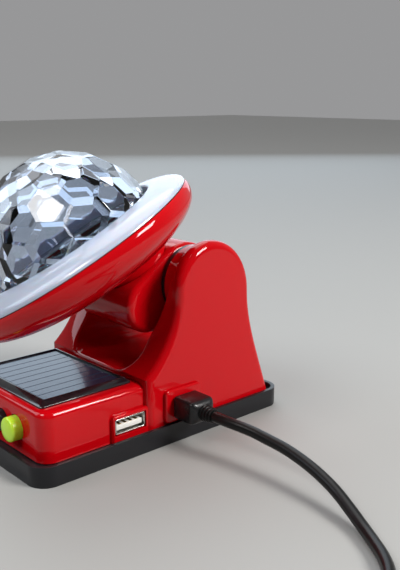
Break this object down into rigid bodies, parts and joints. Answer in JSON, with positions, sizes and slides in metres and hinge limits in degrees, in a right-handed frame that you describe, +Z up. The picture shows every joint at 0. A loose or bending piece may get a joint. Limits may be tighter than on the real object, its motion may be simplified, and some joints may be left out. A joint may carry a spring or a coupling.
{
  "type": "disco light",
  "caption": "Portable disco light: a head with a white light ring and a turning faceted dome, tilting and swivelling in a yoke on a low base with solar panel, buttons and USB socket.",
  "frame": {"origin": "middle of the base tray's flat underside", "axes": "+X towards the side with the USB socket and the charging lead, -Y towards the front face with the push buttons, +Z up"},
  "size_m": [0.2443, 0.1368, 0.1052],
  "materials": {
    "red_gloss": "gloss",
    "white_diffuser": "gloss",
    "black_plastic": "matte",
    "black_gloss": "gloss",
    "black_rubber": "matte",
    "crystal_clear": "polished",
    "clear_plastic": "gloss",
    "solar_cells": "gloss",
    "lime_plastic": "satin",
    "steel": "satin",
    "green_board": "satin",
    "white_board": "satin",
    "cell_case": "satin",
    "led_red": "gloss",
    "led_green": "gloss",
    "led_blue": "gloss",
    "led_white": "gloss"
  },
  "bodies": {
    "base": {"base_tray": "black_plastic", "rubber_pad_1": "black_rubber", "rubber_pad_2": "black_rubber", "rubber_pad_3": "black_rubber", "rubber_pad_4": "black_rubber", "tray_screw_1": "steel", "tray_screw_2": "steel", "tray_screw_3": "steel", "tray_screw_4": "steel", "base_housing": "red_gloss", "solar_bezel": "black_gloss", "solar_panel": "solar_cells", "usb_port_shell": "steel", "usb_port_tongue": "white_diffuser", "charge_socket": "black_plastic", "main_board": "green_board", "battery_cell": "cell_case", "switch_board": "green_board", "power_switch": "black_plastic", "mode_switch": "black_plastic", "pivot_washer_right": "black_gloss", "pivot_washer_left": "black_gloss", "pivot_axle_right": "steel", "pivot_axle_left": "steel", "charge_plug": "black_plastic", "charge_plug_tip": "steel", "strain_relief": "black_rubber", "charge_lead": "black_rubber", "lead_coil": "black_rubber", "coil_tie_1": "black_rubber", "coil_tie_2": "black_rubber", "lead_tail": "black_rubber", "usb_plug_relief": "black_rubber", "usb_plug_body": "black_plastic", "usb_plug_shell": "steel"},
    "knuckle": {"knuckle_front": "red_gloss", "knuckle_rear": "red_gloss", "knuckle_screw_1": "steel", "knuckle_screw_2": "steel"},
    "head": {"swivel_clip": "steel", "bowl_shell": "red_gloss", "diffuser_ring": "white_diffuser", "ring_led_board": "white_board", "reflector_dish": "black_gloss", "head_screw_1": "steel", "head_screw_2": "steel", "head_screw_3": "steel", "centre_led_board": "white_board", "led_red": "led_red", "led_green": "led_green", "led_blue": "led_blue", "led_white": "led_white", "motor": "steel", "motor_screw_1": "steel", "motor_screw_2": "steel"},
    "dome": {"drive_shaft": "steel", "dome_carrier": "clear_plastic", "crystal_dome": "crystal_clear"},
    "power_button": {"power_button": "lime_plastic"},
    "mode_button": {"mode_button": "black_gloss"}
  },
  "joints": [
    {"name": "head_tilt", "type": "hinge", "parent": "base", "child": "knuckle", "pos_m": [0, 0.02095, 0.055], "axis": [1, 0, 0], "range_deg": [-75, 8]},
    {"name": "head_swivel", "type": "hinge", "parent": "knuckle", "child": "head", "pos_m": [0, 0.02095, 0.055], "axis": [0, -0.8499, 0.527], "range_deg": [-65, 0]},
    {"name": "dome_spin", "type": "hinge", "parent": "head", "child": "dome", "pos_m": [0.00597, -0.02229, 0.07066], "axis": [-0.3072, -0.4375, 0.8452], "continuous": true},
    {"name": "power_button_press", "type": "slide", "parent": "base", "child": "power_button", "axis": [0, 1, 0], "range_m": [0, 0.0012], "stiffness_N_per_m": 400, "springref_m": -0.002},
    {"name": "mode_button_press", "type": "slide", "parent": "base", "child": "mode_button", "axis": [0, 1, 0], "range_m": [0, 0.0012], "stiffness_N_per_m": 400, "springref_m": -0.002}
  ]
}
